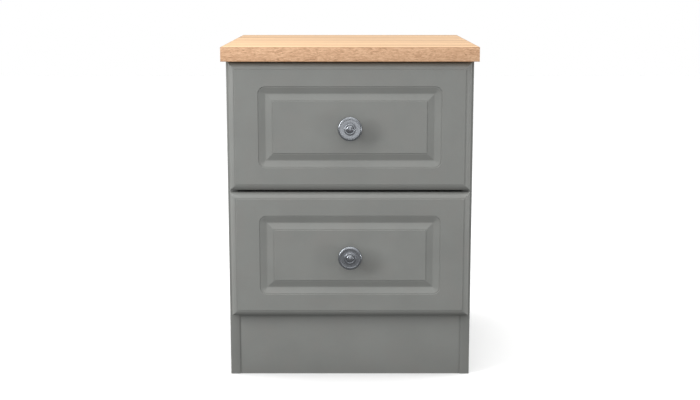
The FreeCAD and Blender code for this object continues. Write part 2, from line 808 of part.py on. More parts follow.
def make_box(drawer, base):
    """The drawer box's walls and base, before their drillings are cut."""
    low, high = f"{base} + box_rise", f"{base} + box_top_rise"
    inside = ("-box_inner_half", "box_inner_half")
    front_inner, back_inner = "front_rear + box_wall", "box_back - box_wall"
    blanks = []
    for name, side in SIDES.items():
        across = span(side, f"{side} * box_inner_half", "box_wall")
        label = f"{drawer}_drawer_{name}_side"
        blanks.append(panel(label, across, ("front_rear", "box_back"), (low, high)))
    blanks.append(panel(f"{drawer}_drawer_inner_front", inside, ("front_rear", front_inner), (low, high)))
    blanks.append(panel(f"{drawer}_drawer_back", inside, (back_inner, "box_back"), (low, high)))
    reach = "groove_depth - groove_end_play"
    base_low = f"{low} + base_rise"
    base_high = f"{base_low} + base_thickness"
    half = f"box_inner_half + {reach}"
    keep(f"{drawer}_drawer_base", block(
        f"{drawer}_drawer_base", (f"-({half})", half),
        (f"{front_inner} - ({reach})", f"{back_inner} + {reach}"), (base_low, base_high),
    ))
    half = "box_inner_half + groove_depth"
    groove = block(
        f"{drawer}_base_groove", (f"-({half})", half),
        (f"{front_inner} - groove_depth", f"{back_inner} + groove_depth"),
        (base_low, f"{base_high} + groove_play"),
    )
    drill([label for label, _ in blanks], groove)
    return blanks


def make_box_joints(drawer, base):
    """The dowels at the four corners of a drawer box."""
    dowels = []
    ends = {"inner_front": "front_rear + box_wall / 2", "back": "box_back - box_wall / 2"}
    heights = {
        "low": f"{base} + box_rise + box_dowel_inset", "high": f"{base} + box_top_rise - box_dowel_inset",
    }
    for side_name, side in SIDES.items():
        low, high = span(-side, f"{side} * (box_inner_half + box_dowel_in_side)", "box_dowel_length")
        for wall, y in ends.items():
            for level_name, z in heights.items():
                panels = (f"{drawer}_drawer_{side_name}_side", f"{drawer}_drawer_{wall}")
                dowels.append(dowel(f"{drawer}_{side_name}_{wall}_{level_name}", "x", low, high, (y, z),
                                    "box_dowel_radius", panels))
    group(f"{drawer}_box_dowels", dowels)


def make_front_screws(drawer, base):
    """The screws from the box into the front, and the long screw that holds the knob."""
    front, wall = f"{drawer}_drawer_front", f"{drawer}_drawer_inner_front"
    seat = "front_rear + box_wall"
    screws = []
    for side_name, side in SIDES.items():
        for level_name, z in (("low", f"{base} + box_rise + front_screw_end"),
                              ("high", f"{base} + box_top_rise - front_screw_end")):
            x = f"{side} * (box_inner_half - front_screw_side)"
            screws.append(screw(f"{front}_{side_name}_{level_name}_screw", "y", -1, seat, (x, z),
                                "front_screw_length", panels=(wall, front)))
    group(f"{drawer}_front_screws", screws)
    length = "box_wall + front_thickness + knob_screw_grip"
    keep(f"{drawer}_knob_screw", screw(
        f"{drawer}_knob_screw", "y", -1, seat, ("0", f"{base} + front_height / 2"), length,
        radius="knob_screw_radius", panels=(wall, front),
    ))


def make_drawer_runners(drawer, base):
    """The runners on a drawer box, with their rollers, pins and screws."""
    blanks, pins, screws = [], [], []
    for name, side in SIDES.items():
        label = f"{drawer}_{name}_drawer_runner"
        blanks.append((label, drawer_runner(label, side, base)))
        axle = ("rear_axle", f"{base} + rear_axle_rise")
        roller(f"{drawer}_{name}_rear_roller", side, *axle, "roller_inner", "rear_roller_outer", -1)
        pins.append(roller_pin(f"{drawer}_{name}_rear_pin", side, *axle, "box_half",
                               "rear_roller_outer", -1, label))
        x = f"{side} * (box_half - drawer_screw_inset)"
        stations = {
            "front": "front_rear + runner_screw_inset",
            "middle": "(front_rear + box_back) / 2",
            "rear": "box_back - runner_screw_inset",
        }
        seat = f"{base} + box_rise - sheet_steel"
        for place, y in stations.items():
            screws.append(screw(f"{label}_{place}_screw", "z", 1, seat, (x, y), "drawer_screw_length",
                                panels=(label, f"{drawer}_drawer_{name}_side")))
    group(f"{drawer}_rear_roller_pins", pins)
    group(f"{drawer}_drawer_runner_screws", screws)
    return blanks


def make_drawer(drawer):
    """Everything that moves with one drawer, apart from its rollers' turning."""
    base = f"{drawer}_front_bottom"
    blanks = [(f"{drawer}_drawer_front", make_front(f"{drawer}_drawer_front", base))]
    make_knob(f"{drawer}_knob", base)
    blanks += make_box(drawer, base)
    make_box_joints(drawer, base)
    make_front_screws(drawer, base)
    return blanks + make_drawer_runners(drawer, base)


# ---------------------------------------------------------------- the whole

def check_and_write():
    """Checks every object and every sub-part's shape, then writes one file for each sub-part."""
    doc.recompute()
    for item in doc.Objects:
        if "Invalid" in item.State or "Error" in item.State:
            raise RuntimeError(f"{item.Name} did not recompute: {item.State}")
    for node in nodes:
        if node.Shape.isNull() or not node.Shape.isValid() or not node.Shape.Solids:
            raise RuntimeError(f"{node.Label} has no valid solid")
    os.makedirs("parts", exist_ok=True)
    for node in nodes:
        node.Shape.exportStep(f"parts/{node.Label}.step")
        print(f"{node.Label}: {len(node.Shape.Solids)} solid(s), {node.Shape.Volume / 1000:.1f} cm3")
    print(f"{len(nodes)} sub-parts")


fill_sheet()
boards = make_worktop() + make_carcass()
make_carcass_joints()
make_worktop_screws()
make_back_pins()
boards += make_runners()
for drawer_name in DRAWERS:
    boards += make_drawer(drawer_name)
for board_label, board_blank in boards:
    finish(board_label, board_blank)
check_and_write()
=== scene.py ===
"""The looks of a two-drawer bedside cabinet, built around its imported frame.

Every length is in metres, in the frame's own axes: +Z up, the fronts facing -Y, the origin on the floor below
the middle of the cabinet. The boards, strips, fronts, knobs, drawer walls and runners are modelled here. The
drawer bases, the rollers and the hidden fittings stay as the frame has them and get their finishes.
"""

import json
import logging
import math
from collections.abc import Callable, Iterable
from dataclasses import dataclass, field
from enum import Enum

import bmesh
import bpy
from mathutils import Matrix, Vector


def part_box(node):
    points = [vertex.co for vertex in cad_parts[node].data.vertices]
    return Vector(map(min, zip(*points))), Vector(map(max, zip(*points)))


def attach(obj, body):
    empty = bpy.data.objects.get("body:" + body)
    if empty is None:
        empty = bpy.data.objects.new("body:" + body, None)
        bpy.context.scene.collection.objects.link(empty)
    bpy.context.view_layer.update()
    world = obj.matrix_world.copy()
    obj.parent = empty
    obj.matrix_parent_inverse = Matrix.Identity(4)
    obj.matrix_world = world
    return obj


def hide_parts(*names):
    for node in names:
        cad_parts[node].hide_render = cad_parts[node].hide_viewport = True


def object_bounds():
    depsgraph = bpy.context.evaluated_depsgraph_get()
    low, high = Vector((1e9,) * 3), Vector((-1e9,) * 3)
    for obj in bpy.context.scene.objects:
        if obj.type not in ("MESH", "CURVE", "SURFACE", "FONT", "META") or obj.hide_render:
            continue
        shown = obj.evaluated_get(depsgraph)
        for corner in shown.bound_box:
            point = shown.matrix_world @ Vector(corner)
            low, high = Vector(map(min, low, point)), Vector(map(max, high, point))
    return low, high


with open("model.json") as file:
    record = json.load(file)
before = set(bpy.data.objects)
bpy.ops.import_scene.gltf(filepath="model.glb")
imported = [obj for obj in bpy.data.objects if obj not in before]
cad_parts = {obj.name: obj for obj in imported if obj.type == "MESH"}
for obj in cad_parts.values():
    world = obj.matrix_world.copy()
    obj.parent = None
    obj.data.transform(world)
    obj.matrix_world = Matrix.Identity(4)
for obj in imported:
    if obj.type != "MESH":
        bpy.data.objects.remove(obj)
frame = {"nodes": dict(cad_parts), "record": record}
CAD_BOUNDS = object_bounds()

LOG = logging.getLogger("cabinet")
MM = 0.001
QUARTER_TURN = math.pi / 2
FULL_TURN = 2 * math.pi
SHARP_ANGLE = math.radians(40)
FLAT_ANGLE = math.radians(0.5)
SAME_PLACE = 0.001 * MM  # vertices nearer to each other than this become one
FRAME_SEAM = 0.002 * MM  # the same, for the loose triangles of the frame's pieces
ON_FACE = 0.01 * MM  # an edge whose ends are nearer to a face than this lies on it
PLACE_DECIMALS = 5

Point = tuple[float, float]
Point3 = tuple[float, float, float]
Rgb = tuple[float, float, float]
Socket = bpy.types.NodeSocket


class Level(Enum):
    """Which of the two drawers a piece belongs to."""

    UPPER = "upper"
    LOWER = "lower"

    @property
    def body(self) -> str:
        """The body that this drawer's pieces ride on."""
        return f"{self.value}_drawer"


class Side(Enum):
    """Left or right of the cabinet, seen from the front."""

    LEFT = "left"
    RIGHT = "right"


class Strip(Enum):
    """The edges of the worktop that carry a strip."""

    FRONT = "front"
    LEFT = "left"
    RIGHT = "right"


class Rail(Enum):
    """The two halves of a runner, by what each is screwed to."""

    CABINET = "cabinet"
    DRAWER = "drawer"


class Axis(Enum):
    """A direction in the frame, as the index of its coordinate."""

    X = 0
    Y = 1
    Z = 2


# ---------------------------------------------------------------------------------------------------------
# Bench work: picking, shaping and placing meshes
# ---------------------------------------------------------------------------------------------------------


def clear_selection() -> None:
    """Leaves every object unselected, in object mode."""
    if bpy.context.object is not None and bpy.context.object.mode != "OBJECT":
        bpy.ops.object.mode_set(mode="OBJECT")
    bpy.ops.object.select_all(action="DESELECT")


def take(piece: bpy.types.Object) -> None:
    """Makes a piece the only selected object, and the active one.

    Args:
        piece: the object to take.
    """
    clear_selection()
    piece.select_set(True)
    bpy.context.view_layer.objects.active = piece


def open_mesh(piece: bpy.types.Object) -> None:
    """Takes a piece into edit mode with nothing selected.

    Args:
        piece: the object to work on.
    """
    take(piece)
    bpy.ops.object.mode_set(mode="EDIT")
    bpy.ops.mesh.select_all(action="DESELECT")


def close_mesh() -> None:
    """Goes back to object mode."""
    bpy.ops.object.mode_set(mode="OBJECT")


def pick_vertices(piece: bpy.types.Object, rule: Callable[[Vector], bool]) -> None:
    """Selects the vertices that a rule accepts, and the edges and faces between them, in edit mode.

    Args:
        piece: the object in edit mode.
        rule: says of a vertex's place whether it is wanted.
    """
    bpy.ops.mesh.select_all(action="DESELECT")
    bpy.ops.mesh.select_mode(type="VERT")
    shape = bmesh.from_edit_mesh(piece.data)
    for vertex in shape.verts:
        vertex.select_set(rule(vertex.co))
    shape.select_flush(True)
    bmesh.update_edit_mesh(piece.data)


def pick_edges(piece: bpy.types.Object, rule: Callable[[Vector, Vector], bool]) -> None:
    """Selects the edges whose two ends a rule accepts, in edit mode.

    Args:
        piece: the object in edit mode.
        rule: says of an edge's two ends whether the edge is wanted.
    """
    bpy.ops.mesh.select_all(action="DESELECT")
    bpy.ops.mesh.select_mode(type="EDGE")
    shape = bmesh.from_edit_mesh(piece.data)
    for edge in shape.edges:
        edge.select_set(rule(edge.verts[0].co, edge.verts[1].co))
    bmesh.update_edit_mesh(piece.data)


def picked_places(piece: bpy.types.Object) -> set[Point3]:
    """The rounded places of the selected vertices, so that they can be picked again later."""
    shape = bmesh.from_edit_mesh(piece.data)
    return {rounded(vertex.co) for vertex in shape.verts if vertex.select}


def rounded(place: Vector) -> Point3:
    """A place to a hundredth of a millimetre."""
    return tuple(round(part, PLACE_DECIMALS) for part in place)


def settle(piece: bpy.types.Object, smooth_below: float = 30.0) -> None:
    """Moves a piece's place, turn and scale into its mesh, and smooths its gentle edges.

    Args:
        piece: the finished object.
        smooth_below: the angle in degrees under which two faces shade as one surface.
    """
    take(piece)
    bpy.ops.object.transform_apply(location=True, rotation=True, scale=True)
    bpy.ops.object.shade_smooth_by_angle(angle=math.radians(smooth_below))


def face_outwards(piece: bpy.types.Object) -> None:
    """Merges doubled vertices and turns all the faces outwards.

    Args:
        piece: the closed shape to put right.
    """
    open_mesh(piece)
    bpy.ops.mesh.select_all(action="SELECT")
    bpy.ops.mesh.remove_doubles(threshold=SAME_PLACE)
    bpy.ops.mesh.normals_make_consistent(inside=False)
    close_mesh()


def ease_edges(piece: bpy.types.Object, radius: float, segments: int = 2) -> None:
    """Rounds every sharp edge a little, as sanding, foil or bent sheet leaves it.

    Args:
        piece: the object to soften.
        radius: how far the rounding reaches from the edge.
        segments: how many facets the rounding has.
    """
    take(piece)
    bevel = piece.modifiers.new("eased_edges", "BEVEL")
    bevel.width = radius
    bevel.segments = segments
    bevel.limit_method = "ANGLE"
    bevel.angle_limit = SHARP_ANGLE
    bpy.ops.object.modifier_apply(modifier=bevel.name)


def new_block(name: str, low: Vector, high: Vector) -> bpy.types.Object:
    """A block between two corners, as the start of a board or strip.

    Args:
        name: what the piece is called.
        low: its lowest corner.
        high: its highest corner.

    Returns:
        The block, with its place in its mesh.
    """
    clear_selection()
    bpy.ops.mesh.primitive_cube_add(size=1, location=(low + high) / 2, scale=high - low)
    piece = bpy.context.object
    piece.name = name
    bpy.ops.object.transform_apply(location=True, rotation=True, scale=True)
    return piece


def copy_piece(piece: bpy.types.Object, name: str, shift: Vector) -> bpy.types.Object:
    """A copy of a settled piece with a mesh of its own, moved to another place.

    Args:
        piece: the piece to copy.
        name: the copy's name.
        shift: how far it is moved.

    Returns:
        The copy, with its place in its mesh.
    """
    take(piece)
    bpy.ops.object.duplicate(linked=False)
    twin = bpy.context.object
    twin.name = name
    twin.location = shift
    bpy.ops.object.transform_apply(location=True, rotation=False, scale=False)
    return twin


def softened_twin(node: str, name: str, radius: float, segments: int = 2) -> bpy.types.Object:
    """A copy of one of the frame's pieces with whole faces and eased edges.

    Args:
        node: the frame's piece to copy.
        name: the copy's name.
        radius: how far each edge's rounding reaches.
        segments: how many facets each rounding has.

    Returns:
        The softened copy, riding on nothing yet.
    """
    take(frame["nodes"][node])
    bpy.ops.object.duplicate(linked=False)
    twin = bpy.context.object
    twin.parent = None
    for key in list(twin.keys()):
        del twin[key]
    twin.name = name
    twin.data.materials.clear()
    open_mesh(twin)
    bpy.ops.mesh.select_all(action="SELECT")
    bpy.ops.mesh.remove_doubles(threshold=FRAME_SEAM)
    bpy.ops.mesh.dissolve_limited(angle_limit=FLAT_ANGLE)
    close_mesh()
    if twin.data.has_custom_normals:
        bpy.ops.mesh.customdata_custom_splitnormals_clear()
    ease_edges(twin, radius, segments)
    settle(twin)
    return twin


# ---------------------------------------------------------------------------------------------------------
# Finishes
# ---------------------------------------------------------------------------------------------------------


@dataclass(frozen=True)
class Pattern:
    """A cloudy pattern: clouds per metre along each axis, finer layers and their strength, warp and shift."""

    clouds: Point3
    layers: float
    rough: float = 0.5
    warp: float = 0
    shift: Point3 = (0, 0, 0)


def evenly(count: float) -> Point3:
    """The same count along every axis."""
    return (count, count, count)


def opaque(colour: object) -> object:
    """A three-part colour with full opacity added, and anything else as it is."""
    return (*colour, 1.0) if isinstance(colour, tuple) and len(colour) == 3 else colour


class Nodes:
    """A tree of shader nodes, with a short call for each thing that is done to it."""

    def __init__(self, tree: bpy.types.NodeTree) -> None:
        """Keeps the tree that the calls work on."""
        self.tree = tree

    def add(self, kind: str, settings: dict[str, object], inputs: dict[object, object]) -> bpy.types.Node:
        """Adds a node.

        Args:
            kind: the node's type name.
            settings: values of its properties.
            inputs: what each socket gets, a value or another node's output.

        Returns:
            The new node.
        """
        made = self.tree.nodes.new(kind)
        for key, value in settings.items():
            setattr(made, key, value)
        for key, value in inputs.items():
            self.feed(made.inputs[key], value)
        return made

    def feed(self, socket: Socket, value: object) -> None:
        """Sets a socket to a value, or joins another node's output to it.

        Args:
            socket: the input to feed.
            value: a value, an output, or None to leave the socket as it is.
        """
        if isinstance(value, Socket):
            self.tree.links.new(value, socket)
        elif value is not None:
            socket.default_value = value

    def span(self, value: Socket, low: float, high: float, to_low: float = 0, to_high: float = 1) -> Socket:
        """A value carried from one range to another, and held inside it."""
        inputs = {"Value": value, "From Min": low, "From Max": high, "To Min": to_low, "To Max": to_high}
        return self.add("ShaderNodeMapRange", {"clamp": True}, inputs).outputs["Result"]

    def reckon(self, operation: str, first: object, second: object) -> Socket:
        """Arithmetic on two values, either of which may be another node's output."""
        return self.add("ShaderNodeMath", {"operation": operation}, {0: first, 1: second}).outputs["Value"]

    def along(self, place: Socket, axis: Axis) -> Socket:
        """A place's or a direction's coordinate along one axis."""
        return self.add("ShaderNodeSeparateXYZ", {}, {"Vector": place}).outputs[axis.value]


class Recipe(Nodes):
    """A material's nodes. A Mix node's colour sockets share their names with others, so numbers tell them."""

    MIX_FIRST = 6
    MIX_SECOND = 7
    MIX_RESULT = 2

    def __init__(self, name: str) -> None:
        """Starts a material with its surface shader and the object's own coordinates.

        Args:
            name: the material's name.
        """
        self.material = bpy.data.materials.new(name)
        self.material.use_nodes = True
        super().__init__(self.material.node_tree)
        self.shader = self.tree.nodes["Principled BSDF"]
        self.place = self.add("ShaderNodeTexCoord", {}, {}).outputs["Object"]

    def noise(self, pattern: Pattern) -> Socket:
        """Reads a cloudy pattern over the object.

        Args:
            pattern: the pattern.

        Returns:
            Its value, from 0 to 1.
        """
        mapping = {"Vector": self.place, "Scale": pattern.clouds, "Location": pattern.shift}
        where = self.add("ShaderNodeMapping", {}, mapping).outputs["Vector"]
        inputs = {"Vector": where, "Scale": 1, "Detail": pattern.layers, "Roughness": pattern.rough}
        inputs["Distortion"] = pattern.warp
        return self.add("ShaderNodeTexNoise", {}, inputs).outputs["Fac"]

    def blend(self, share: Socket, first: object, second: object) -> Socket:
        """A mix of two colours.

        Args:
            share: how much of the second there is, from 0 to 1.
            first: a colour or another node's output.
            second: a colour or another node's output.

        Returns:
            The mixed colour.
        """
        inputs = {"Factor": share, self.MIX_FIRST: opaque(first), self.MIX_SECOND: opaque(second)}
        return self.add("ShaderNodeMix", {"data_type": "RGBA"}, inputs).outputs[self.MIX_RESULT]

    def relief(self, height: Socket, depth: float, strength: float, under: Socket | None = None) -> Socket:
        """Bumps on the surface.

        Args:
            height: the pattern that is raised.
            depth: how high it stands, in metres.
            strength: how much it counts.
            under: bumps that these are added to.

        Returns:
            The bumped normal.
        """
        inputs = {"Height": height, "Distance": depth, "Strength": strength, "Normal": under}
        return self.add("ShaderNodeBump", {}, inputs).outputs["Normal"]

    def finish(self, **sockets: object) -> bpy.types.Material:
        """Sets the shader's sockets.

        Args:
            sockets: what each socket gets, under its name with underscores for spaces.

        Returns:
            The finished material.
        """
        for key, value in sockets.items():
            self.feed(self.shader.inputs[key.replace("_", " ")], opaque(value))
        return self.material


@dataclass(frozen=True)
class OakFoil:
    """Light oak-effect foil: long streaks across the width, with pale and dark grain and fine pores."""

    pale: Rgb = (0.86, 0.565, 0.32)
    dark: Rgb = (0.575, 0.355, 0.188)
    pore: Rgb = (0.36, 0.20, 0.095)
    roughness: float = 0.42
    grain_share: float = 0.35
    bands: Pattern = Pattern((1.1, 30, 30), 4, 0.55, 0.35)
    grain: Pattern = Pattern((7, 260, 260), 5, 0.6, 0.5)
    pores: Pattern = Pattern((55, 900, 900), 2)

    def material(self) -> bpy.types.Material:
        """Mixes streaks and grain, and sprinkles pores over them.

        Returns:
            The worktop board's material.
        """
        recipe = Recipe("light_oak_foil")
        bands, grain, pores = (recipe.noise(pattern) for pattern in (self.bands, self.grain, self.pores))
        tone = recipe.reckon("ADD", bands, recipe.reckon("MULTIPLY", grain, self.grain_share))
        wood = recipe.blend(recipe.span(tone, 0.50, 0.86), self.dark, self.pale)
        wood = recipe.blend(recipe.span(pores, 0.60, 0.72, 0, 0.35), wood, self.pore)
        gloss = recipe.span(grain, 0.3, 0.7, self.roughness - 0.05, self.roughness + 0.07)
        bumps = recipe.relief(pores, 0.04 * MM, 0.5, recipe.relief(grain, 0.08 * MM, 0.5))
        return recipe.finish(Base_Color=wood, Roughness=gloss, Normal=bumps)


@dataclass(frozen=True)
class OakEdging:
    """The worktop's strips: wavy dark flecks, and a brown line of painted shade along each long rounded edge.
    """

    low: float
    high: float
    pale: Rgb = (0.92, 0.60, 0.375)
    mid: Rgb = (0.70, 0.415, 0.24)
    dark: Rgb = (0.36, 0.18, 0.09)
    # Width of the painted shade line along each long edge, and where in it the darkening starts to fade
    line: float = 0.9 * MM
    edge_shade_fade: float = 0.3
    waves_share: float = 0.6
    flecks_share: float = 0.4
    waves: Pattern = Pattern((90, 90, 520), 5, 0.62, 1.4)
    flecks: Pattern = Pattern((210, 210, 1500), 3, 0.6, 0.8, (3, 1, 2))
    clouds: Pattern = Pattern((9, 9, 60), 3, 0.5, 0.4, (5, 2, 1))

    def material(self) -> bpy.types.Material:
        """Mixes waves, flecks and clouds, and paints shade in a dark line along the strip's long edges.

        Returns:
            The strips' material.
        """
        recipe = Recipe("light_oak_edging")
        waves, flecks, clouds = (recipe.noise(pattern) for pattern in (self.waves, self.flecks, self.clouds))
        waved = recipe.reckon("MULTIPLY", waves, self.waves_share)
        tone = recipe.reckon("ADD", waved, recipe.reckon("MULTIPLY", flecks, self.flecks_share))
        wood = recipe.blend(recipe.span(tone, 0.49, 0.60), self.mid, self.pale)
        wood = recipe.blend(recipe.span(tone, 0.47, 0.38, 0, 0.85), wood, self.dark)
        wood = recipe.blend(recipe.span(clouds, 0.35, 0.7, 0, 0.22), wood, self.mid)
        # Painted shade: the colour turns dark over the last 0.9 mm at the strip's top and bottom edges,
        # darkest at the edge itself
        middle = (self.low + self.high) / 2
        half = (self.high - self.low) / 2
        height = recipe.along(recipe.place, Axis.Z)
        off_middle = recipe.reckon("ABSOLUTE", recipe.reckon("SUBTRACT", height, middle), 0.0)
        border = recipe.span(off_middle, half - self.line, half - self.edge_shade_fade * self.line, 0, 0.75)
        wood = recipe.blend(border, wood, self.dark)
        bumps = recipe.relief(flecks, 0.05 * MM, 0.5, recipe.relief(waves, 0.1 * MM, 0.5))
        gloss = recipe.span(tone, 0.35, 0.65, 0.55, 0.45)
        return recipe.finish(Base_Color=wood, Roughness=gloss, Normal=bumps)


@dataclass(frozen=True)
class GreyFoil:
    """Grey foil: slow changes of tone, a fine stipple and a soft sheen."""

    name: str
    tone: Rgb
    roughness: float
    stipple: float
    spread: float = 0.035
    warming: Rgb = (1.03, 0.99, 0.985)
    clouds: Pattern = Pattern(evenly(16), 4, 0.6)
    warmth: Pattern = Pattern(evenly(34), 3, shift=(4, 7, 1))
    fine: Pattern = Pattern(evenly(2600), 2)

    def material(self) -> bpy.types.Material:
        """Mixes clouds of darker, lighter and warmer grey.

        Returns:
            The foil's material.
        """
        recipe = Recipe(self.name)
        clouds, warmth, fine = (recipe.noise(pattern) for pattern in (self.clouds, self.warmth, self.fine))
        darker = tuple(part * (1 - self.spread) for part in self.tone)
        lighter = tuple(part * (1 + self.spread) for part in self.tone)
        warm = tuple(part * share for part, share in zip(self.tone, self.warming))
        shade = recipe.blend(recipe.span(clouds, 0.35, 0.65), darker, lighter)
        shade = recipe.blend(recipe.span(warmth, 0.45, 0.7, 0, 0.5), shade, warm)
        gloss = recipe.span(clouds, 0.3, 0.7, self.roughness - 0.03, self.roughness + 0.05)
        bumps = recipe.relief(fine, self.stipple, 0.6)
        return recipe.finish(Base_Color=shade, Roughness=gloss, Normal=bumps)


@dataclass(frozen=True)
class Metal:
    """A metal with clouded tone, uneven polish and a fine surface texture."""

    name: str
    light: Rgb
    dark: Rgb
    roughness: float
    grain: float = 900.0
    depth: float = 0.01 * MM
    metallic: float = 1.0
    unevenness: float = 0.07
    clouds: Pattern = Pattern(evenly(120), 4, 0.6, 0.3)

    def material(self) -> bpy.types.Material:
        """Mixes the two tones and roughens the polish.

        Returns:
            The metal's material.
        """
        recipe = Recipe(self.name)
        clouds = recipe.noise(self.clouds)
        fine = recipe.noise(Pattern(evenly(self.grain), 3, 0.6))
        shade = recipe.blend(recipe.span(clouds, 0.35, 0.65), self.dark, self.light)
        smooth, dull = self.roughness - self.unevenness, self.roughness + self.unevenness
        gloss = recipe.span(fine, 0.3, 0.7, smooth, dull)
        bumps = recipe.relief(fine, self.depth, 0.6)
        return recipe.finish(Base_Color=shade, Roughness=gloss, Normal=bumps, Metallic=self.metallic)


@dataclass(frozen=True)
class Enamel:
    """Powder-coated steel or moulded plastic: an even colour with orange-peel bumps and faint dust."""

    name: str
    colour: Rgb
    dusty: Rgb
    roughness: float
    peel: float = 420.0
    depth: float = 0.02 * MM
    dust: Pattern = Pattern((40, 25, 60), 5, 0.65)

    def material(self) -> bpy.types.Material:
        """Dusts the colour and dulls it where the dust lies.

        Returns:
            The coating's material.
        """
        recipe = Recipe(self.name)
        peel = recipe.noise(Pattern(evenly(self.peel), 2))
        dust = recipe.noise(self.dust)
        shade = recipe.blend(recipe.span(dust, 0.45, 0.75, 0, 0.6), self.colour, self.dusty)
        gloss = recipe.span(dust, 0.4, 0.7, self.roughness, self.roughness + 0.12)
        return recipe.finish(Base_Color=shade, Roughness=gloss, Normal=recipe.relief(peel, self.depth, 0.7))


@dataclass(frozen=True)
class Fibreboard:
    """Thin pressed board: matted short fibres in two tones, rough and slightly uneven."""

    name: str
    tone: Rgb
    fibre: Rgb
    roughness: float
    mat: Pattern = Pattern(evenly(320), 6, 0.7, 1.2)
    clouds: Pattern = Pattern(evenly(14), 3)

    def material(self) -> bpy.types.Material:
        """Mixes the board's tone with its fibres.

        Returns:
            The board's material.
        """
        recipe = Recipe(self.name)
        mat = recipe.noise(self.mat)
        clouds = recipe.noise(self.clouds)
        shade = recipe.blend(recipe.span(mat, 0.45, 0.62, 0, 0.55), self.tone, self.fibre)
        shade = recipe.blend(recipe.span(clouds, 0.3, 0.7, 0, 0.12), shade, self.fibre)
        gloss = recipe.span(mat, 0.35, 0.65, self.roughness + 0.06, self.roughness - 0.06)
        return recipe.finish(Base_Color=shade, Roughness=gloss, Normal=recipe.relief(mat, 0.05 * MM, 0.6))


@dataclass(frozen=True)
class TurnedBeech:
    """Beech: straight grain along the dowels with short dark rays."""

    pale: Rgb = (0.68, 0.45, 0.26)
    dark: Rgb = (0.50, 0.29, 0.15)
    grain: Pattern = Pattern((60, 700, 700), 4, 0.6, 0.3)
    rays: Pattern = Pattern((260, 1500, 1500), 2)

    def material(self) -> bpy.types.Material:
        """Mixes the grain and the rays.

        Returns:
            The dowels' material.
        """
        recipe = Recipe("beech")
        grain = recipe.noise(self.grain)
        rays = recipe.noise(self.rays)
        shade = recipe.blend(recipe.span(grain, 0.35, 0.65), self.dark, self.pale)
        shade = recipe.blend(recipe.span(rays, 0.6, 0.7, 0, 0.6), shade, self.dark)
        gloss = recipe.span(grain, 0.3, 0.7, 0.5, 0.6)
        return recipe.finish(Base_Color=shade, Roughness=gloss, Normal=recipe.relief(grain, 0.05 * MM, 0.6))


@dataclass
class FinishShelf:
    """All the finishes, made once, under the record's slot names."""

    grey: Rgb = (0.250, 0.256, 0.244)
    made: dict[str, bpy.types.Material] = field(default_factory=dict)

    def stock(self) -> None:
        """Makes every material."""
        low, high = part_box("worktop_front_edging")
        pewter = Metal("brushed_pewter", (0.31, 0.327, 0.352), (0.27, 0.285, 0.307), 0.23,
                       depth=0.003 * MM, metallic=0.85, unevenness=0.025)
        nylon = Enamel("white_nylon", (0.84, 0.84, 0.81), (0.72, 0.71, 0.67), 0.34,
                       peel=700.0, depth=0.008 * MM)
        finishes = {
            "oak_board": OakFoil(),
            "oak_edging": OakEdging(low.z, high.z),
            "grey_board": GreyFoil("grey_melamine", self.grey, 0.46, 0.03 * MM),
            "grey_edging": GreyFoil("grey_edging", self.grey, 0.42, 0.015 * MM),
            "grey_front": GreyFoil("grey_vinyl_wrap", self.grey, 0.40, 0.02 * MM),
            "hardboard": Fibreboard("painted_hardboard", (0.42, 0.42, 0.40), (0.33, 0.33, 0.31), 0.62),
            "drawer_board": GreyFoil("pale_drawer_foil", (0.62, 0.62, 0.60), 0.48, 0.03 * MM),
            "knob_metal": pewter,
            "zinc": Metal("bright_zinc", (0.78, 0.79, 0.78), (0.60, 0.61, 0.58), 0.33, grain=1400.0),
            "runner_steel": Enamel("white_powder_coat", (0.80, 0.80, 0.78), (0.66, 0.65, 0.62), 0.38),
            "roller_plastic": nylon,
            "beech": TurnedBeech(),
        }
        self.made = {slot: finish.material() for slot, finish in finishes.items()}

    def dress(self, piece: bpy.types.Object, slot: str) -> None:
        """Makes a finish a piece's only material."""
        piece.data.materials.clear()
        piece.data.materials.append(self.made[slot])

    def dress_frame(self) -> None:
        """Gives each of the frame's pieces the finish that the record names for it."""
        for part in frame["record"]["subparts"]:
            self.dress(frame["nodes"][part["node"]], part["material_slot"])

    def hand_over(self, piece: bpy.types.Object, body: str, slot: str, node: str) -> None:
        """Gives a finished piece its finish and its body, and hides the frame's piece that it stands for.

        Args:
            piece: the finished object.
            body: the body that it rides on.
            slot: the record's material slot.
            node: the frame's piece that it replaces.
        """
        self.dress(piece, slot)
        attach(piece, body)
        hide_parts(node)
        LOG.info("%s: %d faces, rides on %s", piece.name, len(piece.data.polygons), body)


# ---------------------------------------------------------------------------------------------------------
# Sub-assemblies
# ---------------------------------------------------------------------------------------------------------


@dataclass
class Worktop:
    """The oak-effect top: a board with a thin strip on its front, left and right edges."""

    shelf: FinishShelf
    joint_ease: float = 0.12 * MM
    strip_ease: float = 0.35 * MM
    facets: int = 3

    def build(self) -> None:
        """Makes the board and its three strips."""
        board = new_block("worktop_board", *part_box("worktop"))
        ease_edges(board, self.joint_ease)
        settle(board)
        self.shelf.hand_over(board, "cabinet", "oak_board", "worktop")
        for place in Strip:
            self.strip(place)

    def strip(self, place: Strip) -> None:
        """Makes one strip, with the edges of its outer face rounded over.

        Args:
            place: the worktop's edge that it is on.
        """
        node = f"worktop_{place.value}_edging"
        low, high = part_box(node)
        piece = new_block(f"worktop_{place.value}_strip", low, high)
        outside = {Strip.FRONT: (Axis.Y, low.y), Strip.LEFT: (Axis.X, low.x), Strip.RIGHT: (Axis.X, high.x)}
        axis, where = outside[place]
        open_mesh(piece)
        pick_edges(piece, lambda *ends: all(abs(end[axis.value] - where) < ON_FACE for end in ends))
        bpy.ops.mesh.bevel(offset=self.strip_ease, segments=self.facets, affect="EDGES", clamp_overlap=True)
        close_mesh()
        settle(piece)
        self.shelf.hand_over(piece, "cabinet", "oak_edging", node)


